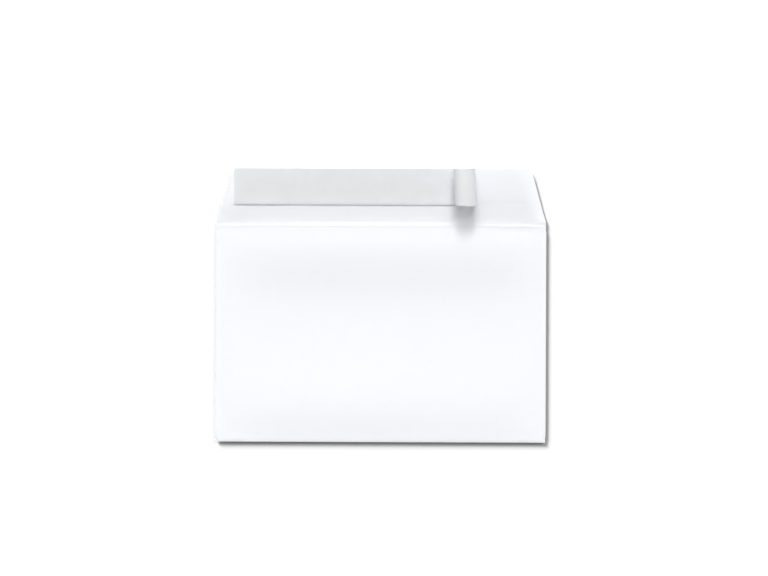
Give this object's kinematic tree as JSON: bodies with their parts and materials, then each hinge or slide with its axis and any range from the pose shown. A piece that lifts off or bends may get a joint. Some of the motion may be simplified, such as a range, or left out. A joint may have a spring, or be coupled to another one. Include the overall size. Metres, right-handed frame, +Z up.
{
  "type": "self-seal envelope",
  "caption": "White paper booklet envelope lying open on its front, with a tapered seal flap, an adhesive band and a release liner partly peeled into a curl.",
  "frame": {"origin": "on the table under the middle of the whole part, open flap included", "axes": "+X along the envelope's long side, +Y from its bottom fold towards the seal flap, +Z up out of the back panel"},
  "size_m": [0.2286, 0.1894, 0.0198],
  "materials": {
    "paper": "white wove envelope paper, matt",
    "adhesive": "clear pressure-sensitive adhesive film, glossy",
    "liner": "silicone-coated release paper, satin"
  },
  "bodies": {
    "root": {"envelope": "paper", "adhesive_strip": "adhesive", "release_liner": "liner"}
  },
  "joints": []
}
